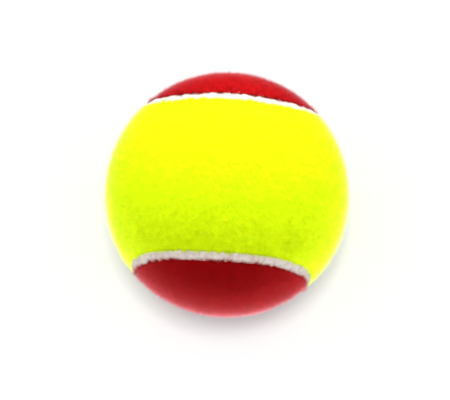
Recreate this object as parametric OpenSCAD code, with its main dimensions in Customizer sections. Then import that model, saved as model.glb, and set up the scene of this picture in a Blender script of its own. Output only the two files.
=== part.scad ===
// A low compression tennis ball. Two moulded rubber half shells, cemented edge to edge, make a thin
// core. Two felt panels of one dog-bone shape are cemented round it, and white seam rubber fills
// the single closed channel between them. The centre of the ball is the origin. The waist of the
// yellow panel is on top and its lobes reach down round +X and -X. The waist of the red panel is
// underneath and its lobes come up at +Y and -Y.

/* [Felt panels] */
// Outside diameter of the ball, over the nap of the felt
ball_diameter = 75; // [70:0.5:80]
// Thickness of a felt panel, nap included
felt_thickness = 3; // [2.4:0.1:3.6]
// Radius that the nap rounds over at the edges of a panel
felt_edge_radius = 0.8; // [0.5:0.1:1.2]
// Half the width of a panel at its waist, as an angle at the centre of the ball
waist_half_angle = 40; // [36:0.5:44]

/* [Seam] */
// Width of the channel between the panels
seam_width = 3.5; // [2.5:0.1:4.5]

/* [Core] */
// Wall of a rubber half shell
core_wall = 1.8; // [1.4:0.1:2.6]
// Thickness of the cement between the edges of the half shells
core_joint = 0.3; // [0.2:0.1:0.6]
// Radius of the bead of cement that the joint squeezes out inside the core
joint_bead_radius = 0.6; // [0.4:0.1:1]
// Thickness of the cement film between the core and a felt panel
cement_film = 0.2; // [0.15:0.05:0.3]

/* [Hidden] */
$fn = 128;

// Radii of the layers, from the outside in
ball_radius = ball_diameter / 2;
felt_inner_radius = ball_radius - felt_thickness;
core_radius = felt_inner_radius - cement_film;
core_inner_radius = core_radius - core_wall;
// The seam rubber meets the felt where the felt starts to round over
shoulder_radius = ball_radius - felt_edge_radius;
// Reach of a cutter past the face that it cuts
over = 2;

// The middle line of the seam is four equal arcs on the ball, which meet in line with each other on
// the XY plane, half way between X and Y. Each is part of a circle round a pole of its own.
// Angle of a pole above or below the XY plane
pole_lean = atan((sqrt(1 / 2) - sin(waist_half_angle)) / cos(waist_half_angle));
// Angle from a pole out to its arc
arc_angle = 90 - waist_half_angle - pole_lean;
// Half the turn of an arc round its pole
arc_half_sweep = acos(-sin(pole_lean) / (sqrt(2) * sin(arc_angle)));
// Angle between the seam and the Z axis where two arcs meet
meeting_slant = atan(sqrt(2) * tan(pole_lean));
// Length of the straight pieces of channel that lap the arcs where they meet
lap_length = 0.6;
// Margin of a lap past the sides of the arcs
lap_margin = 0.08;

// Half a turn about this axis lays each panel on the other one
module swap_panels() {
    rotate(180, [1, 1, 0]) children();
}

// Stands the Z axis on the pole inside the front lobe of the red panel
module at_front_pole() {
    rotate([90 - pole_lean, 0, 0]) children();
}

// Sweeps a section along the arc over the front lobe of the red panel
module sweep_front_arc() {
    at_front_pole()
        rotate([0, 0, 90 - arc_half_sweep])
        rotate_extrude(angle = 2 * arc_half_sweep)
        rotate(-arc_angle)
        children();
}

// Straight piece of a section across each end of that arc
module lap_front_arc() {
    for (side = [-1, 1]) {
        rotate([0, side * meeting_slant, side * 135])
            linear_extrude(height = lap_length, center = true)
            children();
    }
}

// Section of the channel between the panels, flaring where the nap rounds over. The centre of the
// ball is its origin and the middle of the seam is on its Y axis.
module channel_section(margin) {
    half_width = seam_width / 2 + margin;
    flare_half_width = half_width + felt_edge_radius;
    flare_start = shoulder_radius - margin;
    floor = core_radius - over - margin;
    top = ball_radius + over + margin;
    translate([-half_width, floor]) square([2 * half_width, top - floor]);
    difference() {
        translate([-flare_half_width, flare_start]) square([2 * flare_half_width, top - flare_start]);
        for (side = [-1, 1]) {
            translate([side * flare_half_width, flare_start]) circle(felt_edge_radius);
        }
    }
}

// The channel round the whole seam
module channel() {
    for (turn = [0, 180]) {
        rotate([0, 0, turn]) {
            sweep_front_arc() channel_section(0);
            swap_panels() sweep_front_arc() channel_section(0);
            lap_front_arc() channel_section(lap_margin);
        }
    }
}

// Cone out to the middle line of the seam, round the front lobe of the red panel
module front_lobe_cone() {
    near = core_radius * cos(arc_angle) - over;
    far = ball_radius + over;
    at_front_pole()
        translate([0, 0, near])
        cylinder(h = far - near, r1 = near * tan(arc_angle), r2 = far * tan(arc_angle));
}

// Both red lobes above the XY plane
module red_lobe_cones() {
    for (turn = [0, 180]) {
        rotate([0, 0, turn]) front_lobe_cone();
    }
}

// Everything above the XY plane, out past the ball
module upper_block() {
    reach = ball_radius + over;
    translate([-reach, -reach, 0]) cube([2 * reach, 2 * reach, reach]);
}

// The yellow panel's side of the middle line of the seam
module yellow_side() {
    difference() {
        upper_block();
        red_lobe_cones();
    }
    swap_panels() intersection() {
        upper_block();
        red_lobe_cones();
    }
}

// One layer of the yellow panel, between two radii
module panel_layer(inner_radius, outer_radius) {
    intersection() {
        difference() {
            sphere(outer_radius);
            sphere(inner_radius);
            channel();
        }
        yellow_side();
    }
}

// Half shell of the core, with the flat edge that takes the cement
module core_half() {
    rotate_extrude() {
        intersection() {
            difference() {
                circle(core_radius);
                circle(core_inner_radius);
            }
            translate([0, core_joint / 2]) square(core_radius);
        }
    }
}

module core_half_upper() {
    color("#3A3A3C") core_half();
}

module core_half_lower() {
    color("#3A3A3C") mirror([0, 0, 1]) core_half();
}

// Cement between the edges of the half shells, with the bead that it squeezes out inside
module core_joint_cement() {
    color("#C9A86A") rotate_extrude() {
        intersection() {
            difference() {
                circle(core_radius);
                circle(core_inner_radius);
            }
            translate([0, -core_joint / 2]) square([core_radius, core_joint]);
        }
        intersection() {
            translate([core_inner_radius, 0]) circle(joint_bead_radius);
            circle(core_inner_radius);
        }
    }
}

module yellow_panel_cement() {
    color("#D8C48A") panel_layer(core_radius, felt_inner_radius);
}

module red_panel_cement() {
    color("#D8C48A") swap_panels() panel_layer(core_radius, felt_inner_radius);
}

module yellow_felt_panel() {
    color("#E4F51E") panel_layer(felt_inner_radius, ball_radius);
}

module red_felt_panel() {
    color("#C8141C") swap_panels() panel_layer(felt_inner_radius, ball_radius);
}

// Seam rubber fills the channel from the core up to the shoulders of the felt
module seam_rubber() {
    color("#F2EEE8") intersection() {
        difference() {
            sphere(shoulder_radius);
            sphere(core_radius);
        }
        channel();
    }
}

core_half_upper();
core_half_lower();
core_joint_cement();
yellow_panel_cement();
red_panel_cement();
yellow_felt_panel();
red_felt_panel();
seam_rubber();
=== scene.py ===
import math
from typing import NamedTuple

import bpy
import numpy as np
from bpy.props import FloatProperty, FloatVectorProperty, IntProperty, PointerProperty
from mathutils import Matrix, Vector, noise


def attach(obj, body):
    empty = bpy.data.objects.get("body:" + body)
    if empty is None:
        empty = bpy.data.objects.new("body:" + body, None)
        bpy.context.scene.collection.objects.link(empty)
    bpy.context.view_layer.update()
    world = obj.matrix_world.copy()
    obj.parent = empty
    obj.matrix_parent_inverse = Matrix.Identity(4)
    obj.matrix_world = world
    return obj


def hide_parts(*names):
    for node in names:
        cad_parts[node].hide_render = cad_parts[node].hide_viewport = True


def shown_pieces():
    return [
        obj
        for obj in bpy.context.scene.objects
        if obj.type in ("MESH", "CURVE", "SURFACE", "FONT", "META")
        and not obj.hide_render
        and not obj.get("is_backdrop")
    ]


bl_info = {
    "name": "Low Compression Tennis Ball",
    "version": (1, 0, 0),
    "blender": (4, 5, 0),
    "location": "3D View > Sidebar > Ball",
    "description": "Dresses the ball's frame in felt, nap and seam rubber",
    "category": "Object",
}

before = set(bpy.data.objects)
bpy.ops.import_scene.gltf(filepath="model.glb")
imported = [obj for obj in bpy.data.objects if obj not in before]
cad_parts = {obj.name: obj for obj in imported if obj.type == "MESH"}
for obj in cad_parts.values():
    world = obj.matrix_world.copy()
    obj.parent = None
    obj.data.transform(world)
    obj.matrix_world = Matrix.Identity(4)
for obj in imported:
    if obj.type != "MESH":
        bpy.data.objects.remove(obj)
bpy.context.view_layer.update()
MM = 0.001


def node_reach(node):
    """Distance from the centre of the ball to the furthest point of a CAD node."""
    return max(v.co.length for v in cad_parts[node].data.vertices)


BALL_RADIUS = node_reach("yellow_felt_panel")
FELT_INNER_RADIUS = node_reach("yellow_panel_cement")
CORE_RADIUS = node_reach("core_half_upper")
SEAM_RADIUS = node_reach("seam_rubber")


class BallFeltSettings(bpy.types.PropertyGroup):
    """Sizes and colours of the felt panels and their nap"""

    yellow: FloatVectorProperty(
        name="Yellow", description="Colour of the yellow panel", subtype="COLOR", size=3, min=0, max=1,
        default=(0.725, 0.97, 0.002),
    )
    red: FloatVectorProperty(
        name="Red", description="Colour of the red panel", subtype="COLOR", size=3, min=0, max=1,
        default=(0.325, 0.0004, 0.0014),
    )
    nap_depth: FloatProperty(
        name="Nap depth", description="Depth of the nap over the woven ground of the felt", unit="LENGTH",
        default=0.55 * MM, min=0.2 * MM, max=1.2 * MM,
    )
    edge_radius: FloatProperty(
        name="Edge radius", description="Radius that the felt rounds over at the edges of a panel",
        unit="LENGTH", default=0.3 * MM, min=0.2 * MM, max=1.5 * MM,
    )
    yellow_wander: FloatProperty(
        name="Yellow edge wander", description="Distance that the yellow panel's cut edge strays to either side",
        unit="LENGTH", default=0.26 * MM, min=0, max=0.6 * MM,
    )
    red_wander: FloatProperty(
        name="Red edge wander", description="Distance that the red panel's cut edge strays to either side",
        unit="LENGTH", default=0.36 * MM, min=0, max=0.6 * MM,
    )
    fibre_length: FloatProperty(
        name="Fibre length", description="Length of a fibre of the nap", unit="LENGTH",
        default=1.2 * MM, min=0.4 * MM, max=3 * MM,
    )
    fibre_radius: FloatProperty(
        name="Fibre radius", description="Radius of a fibre of the nap at its root", unit="LENGTH",
        default=0.04 * MM, min=0.01 * MM, max=0.1 * MM,
    )
    curled_fibres: IntProperty(
        name="Curled fibres", description="Curled fibres of the nap in each batch on a panel",
        default=18000, min=1000, max=19500,
    )
    fine_fibres: IntProperty(
        name="Fine fibres", description="Fine straight fibres of the nap in each batch on a panel",
        default=36000, min=1000, max=49000,
    )
    edge_fibres: IntProperty(
        name="Edge fibres", description="Fibres of the nap that lean out over the seam from each panel",
        default=21000, min=0, max=49000,
    )
    fuzz_fibres: IntProperty(
        name="Fuzz", description="Fibres on each panel that stand up out of the nap",
        default=17000, min=300, max=40000,
    )
    lint: IntProperty(
        name="Lint", description="Pale crumbs of seam rubber caught along the edge of the red panel",
        default=2200, min=300, max=10000,
    )
    hairs_per_panel: IntProperty(
        name="Loose hairs", description="Longer loose hairs on each panel", default=700, min=0, max=4000,
    )


class BallSeamSettings(bpy.types.PropertyGroup):
    """Sizes and colour of the seam between the panels"""

    waist_half_angle: FloatProperty(
        name="Half waist", description="Half the width of a panel's waist, seen from the centre of the ball",
        subtype="ANGLE", default=math.radians(40.6), min=math.radians(36), max=math.radians(44),
    )
    flat_angle: FloatProperty(
        name="Flat arc", description="Angle from the flat arc over a lobe in to the pole that it runs round",
        subtype="ANGLE", default=math.radians(52.5), min=math.radians(48), max=math.radians(56),
    )
    flat_sweep: FloatProperty(
        name="Flat sweep", description="Half the turn of the flat arc round its pole",
        subtype="ANGLE", default=math.radians(22.2), min=math.radians(10), max=math.radians(30),
    )
    width: FloatProperty(
        name="Seam width", description="Width of the channel between the panels", unit="LENGTH",
        default=3.5 * MM, min=2.5 * MM, max=4.5 * MM,
    )
    crown: FloatProperty(
        name="Crown", description="Height that the middle of the seam rubber stands over its sides",
        unit="LENGTH", default=0.12 * MM, min=0, max=0.8 * MM,
    )
    colour: FloatVectorProperty(
        name="Seam colour", description="Colour of the seam rubber", subtype="COLOR", size=3, min=0, max=1,
        default=(0.575, 0.525, 0.475),
    )


class BallStageSettings(bpy.types.PropertyGroup):
    """Camera and light round the ball"""

    distance: FloatProperty(
        name="Camera distance", description="Distance from the camera to the centre of the ball",
        unit="LENGTH", default=0.525, min=0.2, max=3,
    )
    lens: FloatProperty(
        name="Lens", description="Focal length of the camera", unit="CAMERA", default=136, min=20, max=300,
    )
    key: FloatProperty(
        name="Key light", description="Power of the soft box over the ball", unit="POWER",
        default=9.6, min=0, max=100,
    )
    table: FloatProperty(
        name="Table light", description="Power of the light that a white table throws back", unit="POWER",
        default=18.0, min=0, max=100,
    )
    floor_key: FloatProperty(
        name="Floor light", description="Power of the lamp that throws the ball's shadow", unit="POWER",
        default=37.0, min=0, max=100,
    )
    fill: FloatProperty(
        name="Fill", description="Level of the light from all round", default=0.39, min=0, max=2,
    )
    sides: FloatProperty(
        name="Sides", description="Level of the light from the white screens at both sides",
        default=4.6, min=0, max=10,
    )
    behind: FloatProperty(
        name="Behind", description="Level of the light from the white screen behind the ball",
        default=1.5, min=0, max=10,
    )


class Socket:
    """Output socket of a node, which can stand in a sum as a number does."""

    def __init__(self, graph, output):
        self.graph = graph
        self.output = output

    def also(self, name):
        """Another output of the same node."""
        return Socket(self.graph, self.output.node.outputs[name])

    def __add__(self, other):
        return self.graph.math("ADD", self, other)

    def __sub__(self, other):
        return self.graph.math("SUBTRACT", self, other)

    def __mul__(self, other):
        return self.graph.math("MULTIPLY", self, other)

    def __truediv__(self, other):
        return self.graph.math("DIVIDE", self, other)

    def __radd__(self, other):
        return self.graph.math("ADD", other, self)

    def __rsub__(self, other):
        return self.graph.math("SUBTRACT", other, self)

    def __rmul__(self, other):
        return self.graph.math("MULTIPLY", other, self)

    def __rtruediv__(self, other):
        return self.graph.math("DIVIDE", other, self)

    def __abs__(self):
        return self.graph.math("ABSOLUTE", self, 0)


class Graph:
    """Node tree of a material, a world or a geometry modifier."""

    # Nodes to a row in the node editor, and the room that each one takes
    ROW = 12
    ROOM = (220, 260)

    def __init__(self, tree):
        self.tree = tree

    def node(self, kind, settings=None, values=None, out=0):
        """Adds a node with its settings and the values or links of its sockets, and gives an output."""
        made = self.tree.nodes.new(kind)
        down, along = divmod(len(self.tree.nodes), self.ROW)
        made.location = (self.ROOM[0] * along, -self.ROOM[1] * down)
        for name, value in (settings or {}).items():
            setattr(made, name, value)
        for name, value in (values or {}).items():
            for part in value if isinstance(value, list) else [value]:
                if isinstance(part, Socket):
                    self.tree.links.new(part.output, made.inputs[name])
                else:
                    made.inputs[name].default_value = part
        return Socket(self, made.outputs[out]) if made.outputs else None

    def math(self, operation, first, second):
        return self.node("ShaderNodeMath", {"operation": operation}, {0: first, 1: second})

    def vector(self, operation, first, second):
        return self.node("ShaderNodeVectorMath", {"operation": operation}, {0: first, 1: second})

    def scaled(self, vector, factor):
        return self.node("ShaderNodeVectorMath", {"operation": "SCALE"}, {"Vector": vector, "Scale": factor})

    def mix(self, factor, first, second):
        """Colour between two colours. The sockets go by number, because their names repeat."""
        values = {0: factor, 6: first, 7: second}
        return self.node("ShaderNodeMix", {"data_type": "RGBA"}, values, out=2)

    def place(self):
        """Place on the ball, in metres from its centre."""
        return self.node("ShaderNodeTexCoord", out="Object")

    def noise(self, place, scale, detail, roughness):
        """Noise with about so many swells to the metre."""
        values = {"Vector": place, "Scale": scale, "Detail": detail, "Roughness": roughness}
        return self.node("ShaderNodeTexNoise", None, values)

    def ramp(self, factor, low, high):
        """Number from 0 to 1 as a value goes from low to high."""
        values = {"Value": factor, "From Min": low, "From Max": high, "To Min": 0.0, "To Max": 1.0}
        return self.node("ShaderNodeMapRange", {"interpolation_type": "SMOOTHSTEP"}, values)

    def bump(self, strength, distance, height):
        values = {"Strength": strength, "Distance": distance, "Height": height}
        return self.node("ShaderNodeBump", None, values)

    def attribute(self, kind, name):
        """Attribute of a mesh, in a geometry modifier."""
        return self.node("GeometryNodeInputNamedAttribute", {"data_type": kind}, {"Name": name})

    def between(self, kind, low, high, seed):
        """Random value for each point, as a number, a vector or a whole number."""
        first, out = {"FLOAT": (2, 1), "FLOAT_VECTOR": (0, 0), "INT": (4, 2)}[kind]
        values = {first: low, first + 1: high, 8: seed}
        return self.node("FunctionNodeRandomValue", {"data_type": kind}, values, out=out)


def rgba(colour, level=1.0):
    """Colour at a level, as a colour socket takes it."""
    return (*[min(1.0, c * level) for c in colour], 1.0)


def new_material(name):
    """Empty material, with its graph."""
    material = bpy.data.materials.new(name)
    material.use_nodes = True
    material.node_tree.nodes.clear()
    return material, Graph(material.node_tree)


def finish_material(graph, values):
    """Ends a material in a principled shader."""
    shader = graph.node("ShaderNodeBsdfPrincipled", None, values)
    graph.node("ShaderNodeOutputMaterial", None, {"Surface": shader})


def felt_ground(name, colour):
    """Woven ground of the felt, seen between the fibres of the nap."""
    material, g = new_material(name)
    place = g.place()
    matting = g.noise(place, 420.0, detail=4.0, roughness=0.6)
    tufts = g.noise(place, 2600.0, detail=3.0, roughness=0.65)
    shade = g.ramp(matting * 0.25 + tufts * 0.75, 0.3, 0.68)
    finish_material(g, {
        "Base Color": g.mix(shade, rgba(colour, 0.86), rgba(colour, 1.03)),
        "Roughness": 0.95,
        "Normal": g.bump(0.8, 0.12 * MM, tufts + 0.6 * matting),
        "Specular IOR Level": 0.1,
        "Sheen Weight": 0.3,
        "Sheen Roughness": 0.6,
        "Sheen Tint": rgba(colour, 1.1),
    })
    return material


def nap_fibre(name, colour, sheen_tint):
    """One of the tints that the fibres of a panel are mixed from, with the glow of light through their tips."""
    material, g = new_material(name)
    finish_material(g, {
        "Base Color": rgba(colour),
        "Roughness": 0.95,
        "Specular IOR Level": 0.02,
        "Sheen Weight": 1.0,
        "Sheen Roughness": 0.24,
        "Sheen Tint": rgba(sheen_tint),
    })
    return material


def seam_finish(name, colour):
    """Matt vulcanised rubber with blotches, hair cracks and dust, paler along its sides."""
    blotched, side_tone = rgba((0.50, 0.36, 0.35)), rgba((0.80, 0.68, 0.62))
    cracked, dusty = rgba((0.40, 0.29, 0.28)), rgba((0.30, 0.25, 0.24))
    material, g = new_material(name)
    place = g.place()
    across, along = [
        g.node("ShaderNodeAttribute", {"attribute_name": way}, None, out="Fac") for way in ("across", "along")
    ]
    cloud = g.noise(place, 240.0, detail=4.0, roughness=0.6)
    grain = g.noise(place, 1900.0, detail=3.0, roughness=0.6)
    creases = g.node(
        "ShaderNodeTexVoronoi", {"feature": "DISTANCE_TO_EDGE", "voronoi_dimensions": "1D"},
        {"W": along + 0.003 * cloud, "Scale": 230.0},
    )
    patches = g.ramp(g.noise(place, 330.0, detail=1.0, roughness=0.5), 0.4, 0.62)
    crack = (1.0 - g.ramp(creases, 0.0, 0.07)) * patches
    dust = g.ramp(g.noise(place, 3100.0, detail=1.0, roughness=0.4), 0.7, 0.76)
    side = g.ramp(abs(across), 0.62, 1.0)
    clean = g.ramp(g.noise(place, 640.0, detail=2.0, roughness=0.55), 0.38, 0.6)
    tone = g.mix(clean, g.mix(0.35, rgba(colour), blotched), rgba(colour, 1.12))
    tone = g.mix(side * 0.5, tone, side_tone)
    tone = g.mix(crack * 0.65, tone, cracked)
    tone = g.mix(dust * 0.45, tone, dusty)
    finish_material(g, {
        "Base Color": tone,
        "Roughness": 0.62 + 0.2 * grain,
        "Normal": g.bump(0.6, 0.1 * MM, grain * 0.5 + cloud * 0.8 - crack * 0.7),
        "Specular IOR Level": 0.3,
    })
    return material


def core_finish(name):
    """Dark moulded rubber with a faint bloom."""
    black, bloomed = rgba((0.040, 0.040, 0.043)), rgba((0.085, 0.084, 0.082))
    material, g = new_material(name)
    place = g.place()
    bloom = g.noise(place, 130.0, detail=5.0, roughness=0.6)
    grain = g.noise(place, 2200.0, detail=2.0, roughness=0.5)
    finish_material(g, {
        "Base Color": g.mix(g.ramp(bloom, 0.4, 0.75), black, bloomed),
        "Roughness": 0.6 + 0.2 * bloom,
        "Normal": g.bump(0.4, 0.05 * MM, grain),
    })
    return material


def cement_finish(name):
    """Dried rubber cement, brushed on and drawn into streaks."""
    thick, thin = rgba((0.50, 0.38, 0.19)), rgba((0.72, 0.60, 0.36))
    material, g = new_material(name)
    place = g.place()
    streaks = g.noise(g.vector("MULTIPLY", place, (1.0, 1.0, 0.2)), 900.0, detail=3.0, roughness=0.6)
    pooled = g.noise(place, 220.0, detail=3.0, roughness=0.5)
    finish_material(g, {
        "Base Color": g.mix(g.ramp(0.5 * streaks + 0.5 * pooled, 0.35, 0.65), thick, thin),
        "Roughness": 0.45 + 0.3 * pooled,
        "Normal": g.bump(0.5, 0.05 * MM, streaks),
    })
    return material


def unit(vectors):
    """Vectors brought to a length of 1."""
    return vectors / np.maximum(np.linalg.norm(vectors, axis=-1, keepdims=True), 1e-12)


def heading(start, end):
    """Direction in which one point of a unit ball is seen from another."""
    return unit(end - start * (end @ start))


def stepped(points, direction, angle):
    """Points moved over a unit ball by an angle."""
    angle = np.asarray(angle)[..., None]
    return unit(points * np.cos(angle) + direction * np.sin(angle))


def turned(point, pole, angle):
    """Point turned round a pole."""
    return np.array(Matrix.Rotation(angle, 3, Vector(pole)) @ Vector(point))


def swapped(points):
    """Points given the half turn that lays each panel on the other one."""
    return points[:, [1, 0, 2]] * [1, 1, -1]


class SeamLine:
    """Middle line of the seam. Over each lobe of a panel it is a flat arc between two tighter ones.

    All its arcs are turned or mirrored from half of the arc over the red lobe at +Y, which runs from the top
    of that lobe to the corner that it shares with the yellow lobe at +X.
    """

    def __init__(self, seam):
        lean = math.pi / 2 - seam.waist_half_angle - seam.flat_angle
        self.flat_angle = seam.flat_angle
        self.flat_sweep = seam.flat_sweep
        self.flat_pole = np.array([0.0, math.cos(lean), math.sin(lean)])
        self.top = np.array([0.0, math.sin(seam.waist_half_angle), math.cos(seam.waist_half_angle)])
        self.corner = np.array([math.sqrt(0.5), math.sqrt(0.5), 0.0])
        self.meeting = turned(self.top, self.flat_pole, self.flat_sweep)
        inward = heading(self.meeting, self.flat_pole)
        self.tight_angle = math.atan2(1 - self.meeting @ self.corner, inward @ self.corner)
        self.tight_pole = self.meeting * math.cos(self.tight_angle) + inward * math.sin(self.tight_angle)
        self.tight_sweep = math.acos(
            heading(self.tight_pole, self.meeting) @ heading(self.tight_pole, self.corner)
        )

    def depth(self, points):
        """Angle from the seam into the yellow side, and the direction there, for points on a unit ball."""
        # Points are folded onto the red lobe's half of the quarter where X and Y are positive
        signs = np.where(points >= 0, 1.0, -1.0) * [1, 1, 0] + [0, 0, 1]
        folded = points * signs
        red_lobe = (folded @ np.cross(self.corner, self.tight_pole) > 0)[:, None]
        folded = np.where(red_lobe, folded, swapped(folded))
        tight = (folded @ np.cross(self.flat_pole, self.meeting) > 0)[:, None]
        pole = np.where(tight, self.tight_pole, self.flat_pole)
        reach = np.clip((folded * pole).sum(1), -1, 1)
        outward = unit(folded * reach[:, None] - pole)
        outward = np.where(red_lobe, outward, swapped(outward)) * signs
        beyond = np.arccos(reach) - np.where(tight, self.tight_angle, self.flat_angle)[:, 0]
        side = np.where(red_lobe, 1.0, -1.0)
        return side[:, 0] * beyond, side * outward

    def course(self, steps):
        """Points along the whole line, the given number to each lobe."""
        tight_length = self.tight_sweep * math.sin(self.tight_angle)
        flat_length = self.flat_sweep * math.sin(self.flat_angle)
        tight_steps = round(steps / 2 * tight_length / (tight_length + flat_length))
        half = []
        for start, pole, sweep, count in (
            (self.corner, self.tight_pole, self.tight_sweep, tight_steps),
            (self.meeting, self.flat_pole, self.flat_sweep, steps // 2 - tight_steps),
        ):
            half += [turned(start, pole, -sweep * i / count) for i in range(count)]
        half = np.array([*half, self.top])
        lobes = [np.vstack([half[:-1], half[:0:-1] * [-1, 1, 1]]) * [1, -1, 1]]
        # Each lobe is the last one, a quarter turn on and upside down
        for _ in range(3):
            lobes.append(lobes[-1][:, [1, 0, 2]] * [1, -1, -1])
        return np.vstack(lobes)


def geodesic_ball(frequency):
    """Even triangles on a unit ball, with so many along each side of an icosahedron."""
    golden = (1 + math.sqrt(5)) / 2
    corners = unit(np.array([
        (-1, golden, 0), (1, golden, 0), (-1, -golden, 0), (1, -golden, 0), (0, -1, golden), (0, 1, golden),
        (0, -1, -golden), (0, 1, -golden), (golden, 0, -1), (golden, 0, 1), (-golden, 0, -1), (-golden, 0, 1),
    ], float))
    sides = [
        (0, 11, 5), (0, 5, 1), (0, 1, 7), (0, 7, 10), (0, 10, 11), (1, 5, 9), (5, 11, 4), (11, 10, 2),
        (10, 7, 6), (7, 1, 8), (3, 9, 4), (3, 4, 2), (3, 2, 6), (3, 6, 8), (3, 8, 9), (4, 9, 5), (2, 4, 11),
        (6, 2, 10), (8, 6, 7), (9, 8, 1),
    ]
    points = []
    triangles = []
    for a, b, c in sides:
        row_start = [len(points) + i * (i + 1) // 2 for i in range(frequency + 1)]
        for i in range(frequency + 1):
            for j in range(i + 1):
                points.append(corners[a] * (frequency - i) + corners[b] * (i - j) + corners[c] * j)
        for i in range(frequency):
            for j in range(i + 1):
                high, low = row_start[i] + j, row_start[i + 1] + j
                triangles.append((high, low, low + 1))
                if j < i:
                    triangles.append((high, low + 1, high + 1))
    points = unit(np.array(points))
    _, keep, back = np.unique(np.round(points, 6), axis=0, return_index=True, return_inverse=True)
    return points[keep], back.reshape(-1)[np.array(triangles)]


# Points nearer to a cut than this share of the mesh's spacing are moved onto it
CUT_SNAP = 0.35


def cut_cap(points, triangles, depth_of, level):
    """Part of a ball deeper than a level, cut cleanly along it, and the loop of points along the cut."""
    depth, inward = depth_of(points)
    spacing = np.linalg.norm(points[triangles[0, 0]] - points[triangles[0, 1]])
    near = np.abs(depth - level) < CUT_SNAP * spacing
    points[near] = stepped(points[near], inward[near], level - depth[near])
    depth[near] = level
    state = np.where(near, 0, np.sign(depth - level)).astype(int)
    found = state[triangles]
    whole = triangles[(found >= 0).all(1) & (found > 0).any(1)]
    mixed = triangles[(found < 0).any(1) & (found > 0).any(1)]
    cuts = {}
    added = []
    pieces = []
    for triangle in mixed:
        outline = []
        for a, b in zip(triangle, np.roll(triangle, -1)):
            if state[a] >= 0:
                outline.append(int(a))
            if state[a] * state[b] < 0:
                key = (min(a, b), max(a, b))
                if key not in cuts:
                    cuts[key] = len(points) + len(added)
                    share = (depth[a] - level) / (depth[a] - depth[b])
                    added.append(points[a] * (1 - share) + points[b] * share)
                outline.append(cuts[key])
        pieces += [(outline[0], outline[i], outline[i + 1]) for i in range(1, len(outline) - 1)]
    added = unit(np.array(added))
    for _ in range(2):
        depth, inward = depth_of(added)
        added = stepped(added, inward, level - depth)
    points = np.vstack([points, added])
    triangles = np.vstack([whole, np.array(pieces)])
    used, back = np.unique(triangles, return_inverse=True)
    triangles = back.reshape(triangles.shape)
    return points[used], triangles, open_edge(triangles)


def open_edge(triangles):
    """Loop of points along the one open edge of a mesh."""
    edges = {edge: True for a, b, c in triangles for edge in ((a, b), (b, c), (c, a))}
    following = {a: b for a, b in edges if (b, a) not in edges}
    loop = [next(iter(following))]
    while following[loop[-1]] != loop[0]:
        loop.append(following[loop[-1]])
    if len(loop) != len(following):
        raise RuntimeError("the edge of a felt panel isn't one closed loop")
    return np.array(loop)


def smooth_noise(points, scale, seed):
    """Smooth noise from about -1 to 1 at points given in metres."""
    shift = Vector((seed * 7.31, seed * 3.17, seed * 5.77))
    return np.array([noise.noise(Vector(p) * scale + shift) for p in points])


def swirl(points, scale, seed):
    """Smooth directions at points given in metres."""
    noise.seed_set(seed)
    shift = Vector((seed * 2.63, seed * 9.41, seed * 4.19))
    return np.array([noise.noise_vector(Vector(p) * scale + shift) for p in points])


def place_piece(name, mesh):
    """Adds a finished mesh to the ball, as a piece of its one body."""
    made = bpy.data.objects.new(name, mesh)
    bpy.context.scene.collection.objects.link(made)
    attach(made, "root")
    return made


def new_piece(name, points, faces, material):
    """Piece made from points and faces, shaded smooth."""
    mesh = bpy.data.meshes.new(name)
    mesh.from_pydata([tuple(p) for p in points], [], [tuple(int(i) for i in f) for f in faces])
    if mesh.validate():
        raise RuntimeError(name + " has faulty faces")
    mesh.shade_smooth()
    mesh.materials.append(material)
    return place_piece(name, mesh)


def put(mesh, name, kind, domain, values):
    """Stores an attribute on a mesh."""
    field = {"FLOAT_VECTOR": "vector"}.get(kind, "value")
    mesh.attributes.new(name, kind, domain).data.foreach_set(field, np.asarray(values).reshape(-1))


PANELS = {"yellow": "yellow_felt_panel", "red": "red_felt_panel"}
# Triangles of the felt along each side of the icosahedron
FELT_FREQUENCY = 64
# Height of the lumps in the woven ground
GROUND_LUMPS = 0.03 * MM
# Turns of the rounding at a panel's edge in degrees, and the number of them that carry nap
EDGE_TURNS = (20, 40, 60, 78, 90)
NAP_TURNS = 3
# Steps of a panel's side, from the rounding down to the cement
SIDE_STEPS = 3
# Distance that a wandering edge may draw back from its line
EDGE_SETBACK = 0.05 * MM
# Widths of the bands along an edge in which the nap is brushed out over the seam, and is shorter
BRUSHED_BAND = 1.9 * MM
TRIMMED_BAND = 1.8 * MM
# How fast the nap turns out towards an edge, and how strongly it leans there
BRUSHED_FALL = 1.5
BRUSHED_LEAN = 0.9


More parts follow.
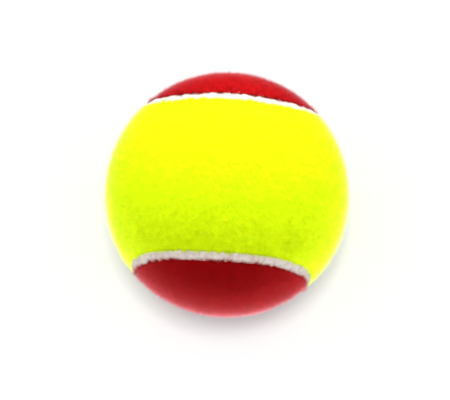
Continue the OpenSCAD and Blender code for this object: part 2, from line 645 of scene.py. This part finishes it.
def felt_skin(colour_name, felt, seam, seed):
    """Closed shell of one felt panel under its nap, rounded over at its wandering edge."""
    line = SeamLine(seam)
    top = BALL_RADIUS - felt.nap_depth
    side = 1.0 if colour_name == "yellow" else -1.0

    def depth_of(points):
        """Angle from the panel's cut edge into the panel, and the direction there."""
        angle, direction = line.depth(points)
        return side * angle - seam.width / 2 / top, side * direction

    # The outside, as far as the rounding
    points, triangles, loop = cut_cap(*geodesic_ball(FELT_FREQUENCY), depth_of, felt.edge_radius / top)
    depth, inward = depth_of(points)
    depth = depth * top
    lumps = GROUND_LUMPS * (smooth_noise(points * top, 240, seed) + smooth_noise(points * top, 800, seed))
    rows, depths, inwards = [points * (top + lumps)[:, None]], [depth], [inward]

    # The rounding and the side, down to the cement
    edge, edge_inward, edge_lumps = points[loop], inward[loop], lumps[loop]
    wander = 0.7 * smooth_noise(edge * top, 260, seed + 3) + smooth_noise(edge * top, 760, seed + 5)
    wander = np.maximum(wander * getattr(felt, colour_name + "_wander"), -EDGE_SETBACK)
    side_top = top - felt.edge_radius
    rings = [(math.sin(t), side_top + felt.edge_radius * math.cos(t)) for t in np.radians(EDGE_TURNS)]
    rings += [(1.0, r) for r in np.linspace(side_top, FELT_INNER_RADIUS, SIDE_STEPS + 1)[1:]]
    for shift, height in rings:
        out = (felt.edge_radius + wander) * shift
        ring = stepped(edge, -edge_inward, out / top)
        rows.append(ring * (height + edge_lumps * (shift < 1))[:, None])
        depths.append(felt.edge_radius - out)
        inwards.append(edge_inward)

    # The inside, on the cement
    inside = len(points) + len(loop) * len(rings)
    rows.append(points * FELT_INNER_RADIUS)
    everywhere = np.vstack(rows)
    depth = np.concatenate([*depths, depth])
    inward = np.vstack([*inwards, inward])

    circuits = [loop, *np.arange(len(points), inside).reshape(len(rings), -1), loop + inside]
    faces = [*triangles]
    for above, below in zip(circuits, circuits[1:]):
        faces += zip(np.roll(above, -1), above, below, np.roll(below, -1))
    faces += [*(triangles[:, ::-1] + inside)]
    # 0 for the faces outside, then the number of the step round the edge that a face is on
    step = np.concatenate([
        np.zeros(len(triangles), int),
        np.repeat(np.arange(1, len(circuits)), len(loop)),
        np.full(len(triangles), len(circuits)),
    ])

    near_edge = np.clip(1 - depth / BRUSHED_BAND, 0, 1)[:, None] ** BRUSHED_FALL
    brushed = swirl(everywhere, 170, seed) + 0.8 * swirl(everywhere, 700, seed + 1)
    lean = brushed * (1 - near_edge) - inward * near_edge * BRUSHED_LEAN
    trim = np.clip(1 - depth / TRIMMED_BAND, 0, 1)
    name = colour_name + "_felt"
    ground = felt_ground(name + "_ground", getattr(felt, colour_name))
    made = new_piece(name, everywhere, faces, ground)
    put(made.data, "lean", "FLOAT_VECTOR", "POINT", lean.astype(np.float32))
    put(made.data, "trim", "FLOAT", "POINT", trim.astype(np.float32))
    put(made.data, "showing", "BOOLEAN", "FACE", step <= NAP_TURNS)
    put(made.data, "rim", "BOOLEAN", "FACE", (step > 0) & (step <= NAP_TURNS))
    put(made.data, "lip", "BOOLEAN", "FACE", step == NAP_TURNS)
    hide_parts(PANELS[colour_name])
    return made


# Segments along a fibre of each tree
FIBRE_SEGMENTS = {"fine_nap": 1, "curled_nap": 2, "loose_hairs": 5}
# How far each of the three shapes of fibre bends over, and the share of that by which its tip drops
FIBRE_BENDS = ((0.35, 0.5), (0.8, 0.35), (1.2, 0.6))
# Tints of the fibres on a panel, as shares of the panel's red, green and blue
TINT_LEVELS = {
    "yellow": ((0.73, 0.79, 0.6), (0.93, 0.95, 1.0), (1.04, 1.01, 1.6), (1.2, 1.04, 3.0)),
    "red": ((0.64, 0.6, 0.6), (0.90, 0.9, 0.9), (1.06, 1.0, 1.0), (1.36, 1.4, 1.3)),
}
TINT_LABELS = ("Tint 1", "Tint 2", "Tint 3", "Tint 4")
# Colour of the light through the tips of the fibres
SHEEN_TINTS = {"yellow": (0.95, 1.0, 0.7), "red": (1.0, 0.72, 0.80)}
LINT_COLOUR = (0.72, 0.64, 0.61)
LINT_SHEEN = (1.0, 1.0, 1.0)

# Kinds of fibre. Length and radius are shares of those in the settings, and the rest are inputs of a tree.
CURLED_NAP = {
    "Length": 1.1, "Radius": 1.0, "Bend": 0.55, "Rise": 0.5, "Lean": 0.16, "Disorder": 0.8, "Spread": 0.4,
    "Clump": 0.0, "Trim": 0.3,
}
FINE_NAP = {**CURLED_NAP, "Length": 0.85, "Radius": 0.8}
EDGE_NAP = {
    "yellow": {
        "Length": 0.75, "Radius": 0.9, "Bend": 0.4, "Rise": 0.45, "Lean": 0.7, "Disorder": 0.6, "Spread": 0.3,
        "Clump": 2.8, "Trim": 0.0,
    },
    "red": {
        "Length": 1.15, "Radius": 1.1, "Bend": 0.4, "Rise": 0.5, "Lean": 1.1, "Disorder": 0.7, "Spread": 0.3,
        "Clump": 3.0, "Trim": 0.0,
    },
}
FUZZ = {
    "Length": 1.3, "Radius": 1.0, "Bend": 0.5, "Rise": 1.3, "Lean": 0.1, "Disorder": 0.7, "Spread": 0.4,
    "Clump": 0.0, "Trim": 0.6,
}
LOOSE_HAIR = {
    "Length": 2.0, "Radius": 0.6, "Bend": 0.9, "Rise": 0.5, "Lean": 0.6, "Disorder": 0.9, "Spread": 0.45,
    "Clump": 0.0, "Trim": 0.3,
}
EDGE_LINT = {
    "Length": 0.4, "Radius": 1.8, "Bend": 0.8, "Rise": 0.9, "Lean": 0.5, "Disorder": 0.7, "Spread": 0.5,
    "Clump": 2.0, "Trim": 0.0,
}


def fibre_tree(name, segments):
    """Geometry nodes that plant bent, tapered fibres on chosen faces of a felt panel."""
    tree = bpy.data.node_groups.new(name, "GeometryNodeTree")
    g = Graph(tree)
    sockets = {}
    for label, kind in (
        ("Felt", "Geometry"), ("Where", "String"), ("Density", "Float"), ("Length", "Float"), ("Radius", "Float"),
        ("Bend", "Float"), ("Rise", "Float"), ("Lean", "Float"), ("Disorder", "Float"), ("Spread", "Float"),
        ("Clump", "Float"), ("Trim", "Float"), ("Seed", "Int"),
        *[(label, "Material") for label in TINT_LABELS],
    ):
        made = tree.interface.new_socket(label, in_out="INPUT", socket_type="NodeSocket" + kind)
        sockets[label] = made.identifier
    tree.interface.new_socket("Fibres", in_out="OUTPUT", socket_type="NodeSocketGeometry")
    given = g.node("NodeGroupInput")
    seed, length, bend = given.also("Seed"), given.also("Length"), given.also("Bend")

    # Roots of the fibres, and the way that each one points
    planted = g.node("GeometryNodeDistributePointsOnFaces", {"distribute_method": "RANDOM"}, {
        "Mesh": given.also("Felt"),
        "Selection": g.attribute("BOOLEAN", given.also("Where")),
        "Density": given.also("Density"),
        "Seed": seed,
    })
    normal = planted.also("Normal")
    astray = g.between("FLOAT_VECTOR", (-1.0, -1.0, -1.0), (1.0, 1.0, 1.0), seed + 11)
    rise = given.also("Rise") * g.between("FLOAT", 0.4, 1.6, seed + 16)
    course = g.vector(
        "ADD", g.scaled(normal, rise), g.scaled(g.attribute("FLOAT_VECTOR", "lean"), given.also("Lean")),
    )
    course = g.vector(
        "ADD", course, g.scaled(g.vector("CROSS_PRODUCT", normal, astray), given.also("Disorder")),
    )
    upright = g.node("FunctionNodeAlignRotationToVector", {"axis": "Z"}, {"Vector": course})
    spin = g.node(
        "FunctionNodeAxisAngleToRotation", None,
        {"Axis": (0.0, 0.0, 1.0), "Angle": g.between("FLOAT", 0.0, 2 * math.pi, seed + 12)},
    )
    stance = g.node(
        "FunctionNodeRotateRotation", {"rotation_space": "LOCAL"}, {"Rotation": upright, "Rotate By": spin},
    )

    # Shapes that the fibres are picked from
    shapes = []
    for sway, drop in FIBRE_BENDS:
        cone = g.node("GeometryNodeMeshCone", {"fill_type": "NGON"}, {
            "Vertices": 3,
            "Side Segments": segments,
            "Fill Segments": 1,
            "Radius Top": 0.0,
            "Radius Bottom": given.also("Radius"),
            "Depth": length,
        })
        spot = g.node("GeometryNodeInputPosition")
        along = g.node("ShaderNodeSeparateXYZ", None, {0: spot}).also("Z") / length
        offset = g.node("ShaderNodeCombineXYZ", None, {
            "X": along * along * length * bend * sway,
            "Z": along * along * along * length * bend * (-drop * sway),
        })
        bent = g.node("GeometryNodeSetPosition", None, {"Geometry": cone, "Offset": offset})
        shapes.append(g.node("GeometryNodeGeometryToInstance", None, {"Geometry": bent}))
    kinds = g.node("GeometryNodeJoinGeometry", None, {"Geometry": shapes})

    # Fibres on their roots, in tufts and shorter where they are trimmed
    tufts = g.noise(g.node("GeometryNodeInputPosition"), 800.0, detail=1.0, roughness=0.5)
    trimmed = 1.0 - given.also("Trim") * g.attribute("FLOAT", "trim")
    tufted = (1.0 + (tufts - 0.5) * given.also("Clump")) * trimmed
    spread = given.also("Spread")
    strands = g.node("GeometryNodeInstanceOnPoints", None, {
        "Points": planted,
        "Instance": kinds,
        "Pick Instance": True,
        "Instance Index": g.between("INT", 0, len(shapes) - 1, seed + 13),
        "Rotation": stance,
        "Scale": g.between("FLOAT", 1.0 - spread, 1.0 + spread, seed + 14) * tufted,
    })

    # A tint for each fibre, which varies from tuft to tuft
    matting = g.noise(g.node("GeometryNodeInputPosition"), 700.0, detail=3.0, roughness=0.6)
    tint = 0.8 * g.between("FLOAT", 0.0, 1.0, seed + 15) + 1.6 * (matting - 0.5) + 0.1
    strands = g.node(
        "GeometryNodeStoreNamedAttribute", {"data_type": "FLOAT", "domain": "INSTANCE"},
        {"Geometry": strands, "Name": "tint", "Value": tint},
    )
    mesh = g.node("GeometryNodeRealizeInstances", None, {"Geometry": strands})
    mesh = g.node("GeometryNodeSetMaterial", None, {"Geometry": mesh, "Material": given.also(TINT_LABELS[0])})
    tint = g.attribute("FLOAT", "tint")
    for i, label in enumerate(TINT_LABELS[1:], 1):
        chosen = g.node("FunctionNodeCompare", {"operation": "GREATER_THAN"}, {0: tint, 1: i / len(TINT_LABELS)})
        values = {"Geometry": mesh, "Selection": chosen, "Material": given.also(label)}
        mesh = g.node("GeometryNodeSetMaterial", None, values)
    g.node("NodeGroupOutput", None, {"Fibres": mesh})
    return tree, sockets


class Crop(NamedTuple):
    """Fibres of one kind that grow on a felt panel: the faces that they grow on, their number and their seed."""

    name: str
    where: str
    count: int
    tree: tuple
    fibre: dict
    seed: int


# Attributes that a fibre tree uses and a finished piece of nap has no need of
SPARE_ATTRIBUTES = {"tint", "lean", "trim", "showing", "rim", "lip"}
# A crop with fewer faces than this has failed
FEWEST_FACES = 1000
# Share of its own normal that a fibre keeps
OWN_SHADING = 0.3


def plant(ground, crop, tints):
    """Grows a crop on a felt panel, and keeps what its tree makes as a plain mesh."""
    felt = bpy.context.scene.ball_felt
    tree, sockets = crop.tree
    chosen = ground.data.attributes[crop.where].data
    area = sum(p.area for p in ground.data.polygons if chosen[p.index].value)
    values = {
        **crop.fibre,
        **tints,
        "Where": crop.where,
        "Density": crop.count / area,
        "Length": felt.fibre_length * crop.fibre["Length"],
        "Radius": felt.fibre_radius * crop.fibre["Radius"],
        "Seed": crop.seed,
    }
    field = bpy.data.objects.new(crop.name + "_field", ground.data)
    bpy.context.scene.collection.objects.link(field)
    modifier = field.modifiers.new("Fibres", "NODES")
    modifier.node_group = tree
    for label, value in values.items():
        modifier[sockets[label]] = value
    graph = bpy.context.evaluated_depsgraph_get()
    mesh = bpy.data.meshes.new_from_object(field.evaluated_get(graph), depsgraph=graph)
    mesh.name = crop.name
    bpy.data.objects.remove(field)
    for spare in SPARE_ATTRIBUTES.intersection(mesh.attributes.keys()):
        mesh.attributes.remove(mesh.attributes[spare])
    if len(mesh.polygons) < FEWEST_FACES:
        raise RuntimeError(crop.name + " has no fibres")
    mesh.shade_smooth()
    soften_shading(mesh)
    return place_piece(crop.name, mesh)


def soften_shading(mesh):
    """Turns the normals of fibres most of the way to those of the ball, so that nap shades as one surface."""
    points = np.empty(len(mesh.vertices) * 3, np.float32)
    mesh.vertices.foreach_get("co", points)
    own = np.empty(len(mesh.vertices) * 3, np.float32)
    mesh.vertex_normals.foreach_get("vector", own)
    outward = unit(points.reshape(-1, 3))
    mesh.normals_split_custom_set_from_vertices(unit(outward + OWN_SHADING * own.reshape(-1, 3)))


class BALL_OT_core(bpy.types.Operator):
    """Gives the core, its joint and the cement under the felt their finish"""

    bl_idname = "ball.core"
    bl_label = "Core and Cement"

    def execute(self, context):
        rubber = core_finish("core_rubber")
        cement = cement_finish("rubber_cement")
        for name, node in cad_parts.items():
            if name.startswith("core_half") or name.endswith("_cement"):
                node.data.materials.clear()
                node.data.materials.append(cement if name.endswith("_cement") else rubber)
        return {"FINISHED"}


class BALL_OT_felt(bpy.types.Operator):
    """Makes the two felt panels, as closed shells under the nap"""

    bl_idname = "ball.felt"
    bl_label = "Felt Panels"

    def execute(self, context):
        for seed, colour_name in enumerate(PANELS, 1):
            felt_skin(colour_name, context.scene.ball_felt, context.scene.ball_seam, seed)
        return {"FINISHED"}


class BALL_OT_nap(bpy.types.Operator):
    """Plants the nap and the loose hairs on both felt panels"""

    bl_idname = "ball.nap"
    bl_label = "Nap"

    def execute(self, context):
        felt = context.scene.ball_felt
        fine, curled, long = [fibre_tree(*item) for item in FIBRE_SEGMENTS.items()]
        for number, colour_name in enumerate(PANELS):
            name = colour_name + "_felt"
            ground = bpy.data.objects[name]
            nap = colour_name + "_nap_"
            seed = 40 * number
            crops = [
                Crop(nap + "1", "showing", felt.curled_fibres, curled, CURLED_NAP, seed + 7),
                Crop(nap + "2", "showing", felt.curled_fibres, curled, CURLED_NAP, seed + 107),
                Crop(nap + "3", "showing", felt.fine_fibres, fine, FINE_NAP, seed + 207),
                Crop(nap + "4", "showing", felt.fine_fibres, fine, FINE_NAP, seed + 307),
            ]
            crops += [
                Crop(colour_name + "_edge_nap", "rim", felt.edge_fibres, fine, EDGE_NAP[colour_name], seed + 700),
                Crop(colour_name + "_fuzz", "showing", felt.fuzz_fibres, fine, FUZZ, seed + 600),
                Crop(colour_name + "_loose_hairs", "showing", felt.hairs_per_panel, long, LOOSE_HAIR, seed + 900),
            ]
            tints = self.tints(nap, getattr(felt, colour_name), TINT_LEVELS[colour_name], SHEEN_TINTS[colour_name])
            grown = [plant(ground, crop, tints) for crop in crops]
        lint = nap_fibre("seam_lint", LINT_COLOUR, LINT_SHEEN)
        crop = Crop("edge_lint", "lip", felt.lint, curled, EDGE_LINT, 800)
        plant(bpy.data.objects["red_felt"], crop, dict.fromkeys(TINT_LABELS, lint))
        return {"FINISHED"}

    def tints(self, nap, colour, levels, sheen_tint):
        """Material for each tint of a panel's nap."""
        made = {}
        for number, (label, level) in enumerate(zip(TINT_LABELS, levels), 1):
            shade = [c * share for c, share in zip(colour, level)]
            made[label] = nap_fibre(nap + str(number), shade, sheen_tint)
        return made


# Steps along the seam over each lobe, and rows of points across the top of the strip
SEAM_STEPS = 360
STRIP_ROWS = 13
# Height of the strip over the solid seam rubber, and how sharply it falls off to its sides
STRIP_RISE = 0.40 * MM
STRIP_SHOULDER = 2.6
# Heights of the slow swells along the strip and of the small lumps on it
STRIP_SWELL = 0.12 * MM
STRIP_LUMPS = 0.07 * MM


class BALL_OT_seam(bpy.types.Operator):
    """Sweeps the seam rubber round the ball, between the felt panels"""

    bl_idname = "ball.seam"
    bl_label = "Seam Rubber"

    def execute(self, context):
        seam = context.scene.ball_seam
        course = SeamLine(seam).course(SEAM_STEPS)
        ahead = unit(np.roll(course, -1, 0) - np.roll(course, 1, 0))
        aside = np.cross(course, ahead)
        half = seam.width / 2 / BALL_RADIUS
        swell = STRIP_SWELL * smooth_noise(course * BALL_RADIUS, 170, 11)
        top_shares = np.linspace(-1, 1, STRIP_ROWS)
        floor_shares = np.array([1.0, 0.0, -1.0])
        rows = []
        for share in top_shares:
            line = stepped(course, aside, share * half)
            height = SEAM_RADIUS + STRIP_RISE - seam.crown * abs(share) ** STRIP_SHOULDER
            lumps = swell * (1 - share**2) + STRIP_LUMPS * smooth_noise(line * BALL_RADIUS, 700, 12)
            rows.append(line * (height + lumps)[:, None])
        rows += [stepped(course, aside, share * half) * CORE_RADIUS for share in floor_shares]
        count = len(course)
        faces = []
        for row in range(len(rows)):
            low, high = row * count, (row + 1) % len(rows) * count
            for i in range(count):
                j = (i + 1) % count
                faces.append((low + i, low + j, high + j, high + i))
        rubber = seam_finish("seam_rubber", seam.colour)
        made = new_piece("seam_strip", np.vstack(rows), faces, rubber)
        across = np.repeat(np.concatenate([top_shares, floor_shares]), count)
        put(made.data, "across", "FLOAT", "POINT", across.astype(np.float32))
        walked = np.cumsum(np.linalg.norm(course - np.roll(course, 1, 0), axis=1)) * BALL_RADIUS
        put(made.data, "along", "FLOAT", "POINT", np.tile(walked, len(rows)).astype(np.float32))
        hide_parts("seam_rubber")
        return {"FINISHED"}


# Directions from the ball to the camera and up the picture
CAMERA_WAY = Vector((0.063, -0.1955, 0.979))
PICTURE_UP = Vector((-0.056, 0.978, 0.199))
# How far to the right of the ball's centre and above it the camera aims
AIM = (-0.6 * MM, -1.61 * MM)
SENSOR_WIDTH = 36
# How far up the picture and out towards the camera the key light stands
KEY_WAY = (0.70, 0.71)
FLOOR_LIGHT_WAY = Vector((0.05, -0.03, 1.0))
# Ways from which a white table throws light back, and the share of its light from each
TABLE_LAMPS = (
    (Vector((-0.57, -0.62, -0.74)), 0.40),
    (Vector((0.0, -0.62, -0.78)), 0.30),
    (Vector((0.57, -0.62, -0.74)), 0.40),
    (Vector((0.0, 1.0, 0.0)), 0.22),
)
FLOOR_REACH = 3.0
# Glow of the white table where it is seen, and the distances between which it fades out to plain white
TABLE_GLOW = 0.06
TABLE_FADE = (0.4, 1.6)


class BALL_OT_stage(bpy.types.Operator):
    """Sets up the pale floor, the soft light and the camera"""

    bl_idname = "ball.stage"
    bl_label = "Stage"

    def execute(self, context):
        scene = context.scene
        scene.view_settings.view_transform = "Standard"
        back = CAMERA_WAY.normalized()
        up = (PICTURE_UP - back * PICTURE_UP.dot(back)).normalized()
        self.add_camera(scene, back, up)
        floor = self.add_floor(scene)
        self.add_lamps(scene.ball_stage, floor, up * KEY_WAY[0] + back * KEY_WAY[1])
        scene.world = self.studio(scene.ball_stage)
        return {"FINISHED"}

    def add_camera(self, scene, back, up):
        view = bpy.data.cameras.new("camera")
        view.lens = scene.ball_stage.lens
        view.sensor_width = SENSOR_WIDTH
        camera = bpy.data.objects.new("camera", view)
        right = up.cross(back)
        spot = right * AIM[0] + up * AIM[1] + back * scene.ball_stage.distance
        camera.matrix_world = Matrix.Translation(spot) @ Matrix((right, up, back)).transposed().to_4x4()
        scene.collection.objects.link(camera)
        scene.camera = camera

    def add_floor(self, scene):
        corners = [(-1, -1), (1, -1), (1, 1), (-1, 1)]
        mesh = bpy.data.meshes.new("floor")
        mesh.from_pydata([(x * FLOOR_REACH, y * FLOOR_REACH, -BALL_RADIUS) for x, y in corners], [], [(0, 1, 2, 3)])
        mesh.materials.append(self.floor_finish())
        floor = bpy.data.objects.new("floor", mesh)
        scene.collection.objects.link(floor)
        floor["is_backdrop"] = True
        return floor

    def floor_finish(self):
        """White table that keeps the ball's shadow."""
        material, g = new_material("white_table")
        far = g.node("ShaderNodeVectorMath", {"operation": "LENGTH"}, {0: g.place()}, out="Value")
        seen = g.node("ShaderNodeLightPath", out="Is Camera Ray")
        paper = g.node("ShaderNodeBsdfDiffuse", None, {"Color": (0.8, 0.8, 0.8, 1)})
        white = g.node("ShaderNodeEmission", None, {"Color": (1, 1, 1, 1), "Strength": 1.0})
        glow = g.node("ShaderNodeMixShader", None, {0: (TABLE_GLOW + g.ramp(far, *TABLE_FADE)) * seen, 2: white})
        both = g.node("ShaderNodeAddShader", None, {0: paper, 1: glow})
        g.node("ShaderNodeOutputMaterial", None, {"Surface": both})
        return material

    def add_lamps(self, stage, floor, key_way):
        """Key and table light on the ball alone, and the light that throws its shadow on the floor alone."""
        floor_only = bpy.data.collections.new("floor_light")
        floor_only.objects.link(floor)
        ball_only = bpy.data.collections.new("ball_light")
        felt_only = bpy.data.collections.new("felt_light")
        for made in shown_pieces():
            ball_only.objects.link(made)
            if made.name.startswith(tuple(PANELS)):
                felt_only.objects.link(made)
        self.soft_box("key", key_way, distance=0.75, size=(0.9, 0.7), power=stage.key, lit=ball_only)
        for way, share in TABLE_LAMPS:
            power = stage.table * share
            lamp = self.soft_box("table_light", way, distance=0.5, size=(0.5, 0.25), power=power, lit=felt_only)
            lamp.light_linking.blocker_collection = ball_only
            lamp.data.cycles.max_bounces = 0
        self.soft_box(
            "floor_light", FLOOR_LIGHT_WAY, distance=2.5, size=(0.56, 0.56), power=stage.floor_key, lit=floor_only,
        )

    def soft_box(self, name, way, distance, size, power, lit):
        """Lamp that faces the ball from one way and lights one collection."""
        light = bpy.data.lights.new(name, "AREA")
        light.shape = "RECTANGLE"
        light.size, light.size_y = size
        light.energy = power
        lamp = bpy.data.objects.new(name, light)
        lamp.location = way.normalized() * distance
        lamp.rotation_mode = "QUATERNION"
        lamp.rotation_quaternion = way.to_track_quat("Z", "Y")
        bpy.context.scene.collection.objects.link(lamp)
        lamp.light_linking.receiver_collection = lit
        return lamp

    def studio(self, stage):
        """World that looks white, and lights the ball from all round and from low white screens."""
        world = bpy.data.worlds.new("studio")
        world.use_nodes = True
        world.node_tree.nodes.clear()
        g = Graph(world.node_tree)
        paths = g.node("ShaderNodeLightPath")
        seen = g.math("MAXIMUM", paths.also("Is Camera Ray"), paths.also("Is Glossy Ray"))
        seen = g.math("MAXIMUM", seen, paths.also("Is Transmission Ray"))
        way = g.node("ShaderNodeSeparateXYZ", None, {0: g.node("ShaderNodeTexCoord", out="Generated")})
        low = 1.0 - g.math("MAXIMUM", way.also("Z"), 0.0)
        behind = g.math("MAXIMUM", way.also("Y"), 0.0)
        screens = stage.sides * way.also("X") * way.also("X") + stage.behind * behind * behind
        light = stage.fill + screens * low * low
        strength = seen + (1.0 - seen) * light
        sky = g.node("ShaderNodeBackground", None, {"Color": (1, 1, 1, 1), "Strength": strength})
        g.node("ShaderNodeOutputWorld", None, {"Surface": sky})
        return world


SETTINGS = {"ball_felt": BallFeltSettings, "ball_seam": BallSeamSettings, "ball_stage": BallStageSettings}
STEPS = (BALL_OT_core, BALL_OT_felt, BALL_OT_nap, BALL_OT_seam, BALL_OT_stage)


class BALL_PT_sidebar(bpy.types.Panel):
    """Sizes, colours and steps of the ball"""

    bl_label = "Tennis Ball"
    bl_space_type = "VIEW_3D"
    bl_region_type = "UI"
    bl_category = "Ball"

    def draw(self, context):
        for step in STEPS:
            self.layout.operator(step.bl_idname)
        for group in SETTINGS:
            settings = getattr(context.scene, group)
            box = self.layout.box()
            for name in settings.bl_rna.properties.keys():
                if name not in ("rna_type", "name"):
                    box.prop(settings, name)


CLASSES = (*SETTINGS.values(), *STEPS, BALL_PT_sidebar)


def register():
    for kind in CLASSES:
        bpy.utils.register_class(kind)
    for name, group in SETTINGS.items():
        setattr(bpy.types.Scene, name, PointerProperty(type=group))


def unregister():
    for name in SETTINGS:
        delattr(bpy.types.Scene, name)
    for kind in reversed(CLASSES):
        bpy.utils.unregister_class(kind)


def main():
    register()
    bpy.ops.ball.core()
    bpy.ops.ball.felt()
    bpy.ops.ball.nap()
    bpy.ops.ball.seam()
    bpy.ops.ball.stage()


if __name__ == "__main__":
    main()
